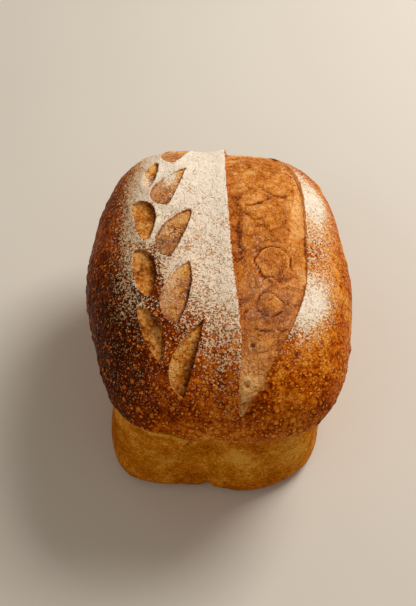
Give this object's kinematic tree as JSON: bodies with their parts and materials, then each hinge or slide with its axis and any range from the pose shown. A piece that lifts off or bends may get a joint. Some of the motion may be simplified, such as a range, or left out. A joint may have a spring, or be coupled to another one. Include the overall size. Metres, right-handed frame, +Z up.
{
  "type": "sourdough loaf",
  "caption": "Tin-baked sourdough loaf with a domed dark crust, a long torn slash, leaf-shaped cuts dusted with flour and straight golden sides.",
  "frame": {"origin": "bottom centre of the loaf's bounding box, on the flat underside it rests on", "axes": "+Z up, +Y along the loaf from its front end to its back end, +X across it to the right of the slash"},
  "size_m": [0.1436, 0.1833, 0.1191],
  "materials": {
    "crust": "matte"
  },
  "bodies": {
    "root": {"loaf": "crust"}
  },
  "joints": []
}
